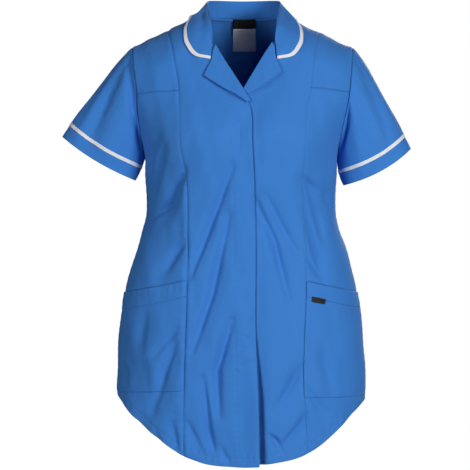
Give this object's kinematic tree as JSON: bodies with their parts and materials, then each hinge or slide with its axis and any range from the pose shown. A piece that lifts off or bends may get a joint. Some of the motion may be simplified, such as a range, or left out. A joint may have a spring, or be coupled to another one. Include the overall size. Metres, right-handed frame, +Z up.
{
  "type": "maternity work tunic",
  "caption": "Short-sleeved maternity work tunic with round collar, piped edges, concealed front fastening and patch pockets, shaped as worn with nobody in it.",
  "frame": {"origin": "middle of the neck, level with the neck ends of the shoulder seams, where the wearer's shoulders carry it", "axes": "+Z up, the front faces -Y, +X towards the wearer's left"},
  "size_m": [0.6424, 0.2877, 0.8502],
  "materials": {
    "tunic_cloth": "plain-weave polyester-cotton, matt",
    "piping": "flat white bias tape, matt",
    "black_tape": "woven black tape, slight sheen",
    "grey_label": "smooth woven grey label"
  },
  "bodies": {
    "root": {"front_right": "tunic_cloth", "front_left": "tunic_cloth", "side_front_right": "tunic_cloth", "side_front_left": "tunic_cloth", "shoulder_yoke_right": "tunic_cloth", "shoulder_yoke_left": "tunic_cloth", "back": "tunic_cloth", "back_yoke": "tunic_cloth", "pocket_right": "tunic_cloth", "pocket_band_right": "tunic_cloth", "pocket_left": "tunic_cloth", "pocket_band_left": "tunic_cloth", "sleeve_right": "tunic_cloth", "sleeve_piping_right": "piping", "cuff_right": "tunic_cloth", "sleeve_left": "tunic_cloth", "sleeve_piping_left": "piping", "cuff_left": "tunic_cloth", "collar": "tunic_cloth", "collar_piping": "piping", "lapel_right": "tunic_cloth", "lapel_left": "tunic_cloth", "pocket_tab": "black_tape", "neck_label_top": "black_tape", "neck_label_bottom": "grey_label"}
  },
  "joints": []
}
